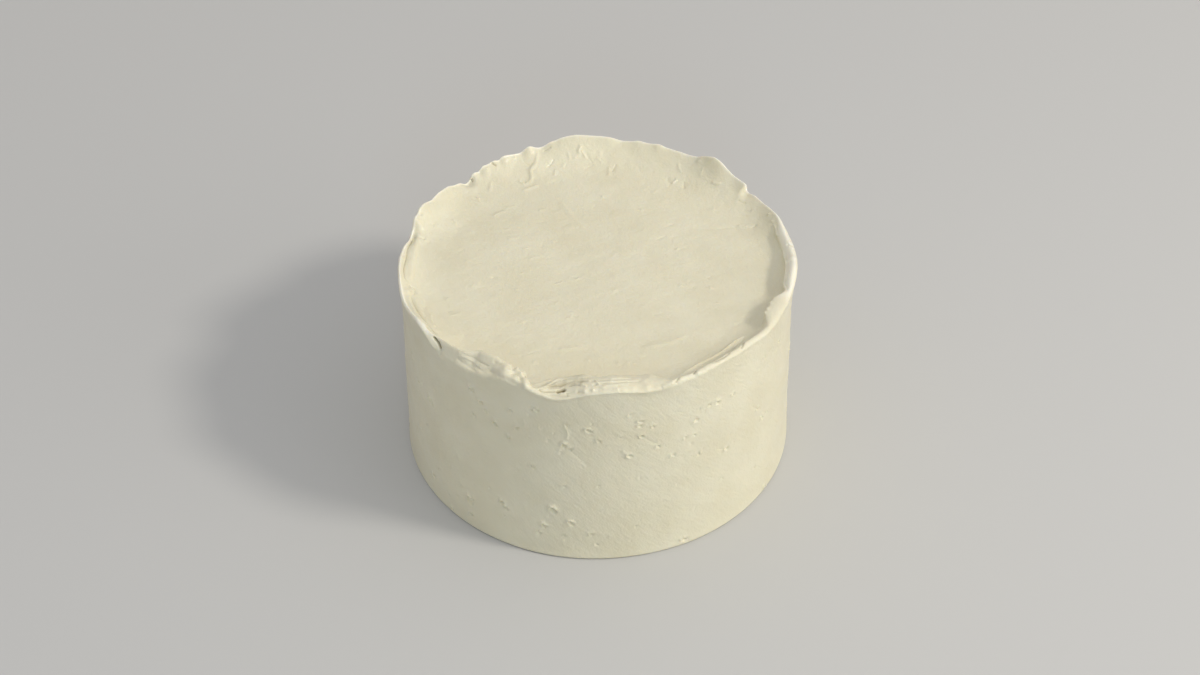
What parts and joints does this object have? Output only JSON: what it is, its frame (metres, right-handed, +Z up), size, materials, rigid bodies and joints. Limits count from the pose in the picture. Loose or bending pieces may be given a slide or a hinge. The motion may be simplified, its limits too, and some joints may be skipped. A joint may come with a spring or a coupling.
{
  "type": "bento cake",
  "caption": "Small round uncut cake covered in smooth white cream, with a thin ragged cream lip standing round the edge of its flat top.",
  "frame": {"origin": "middle of the flat underside that the cake rests on", "axes": "+Z up along the cake's round axis, -Y towards the front, where the lip is folded inwards, +X to the right"},
  "size_m": [0.1091, 0.1086, 0.0637],
  "materials": {
    "white_cream": "smoothed white cream, soft satin"
  },
  "bodies": {
    "root": {"frosted_cake": "white_cream"}
  },
  "joints": []
}
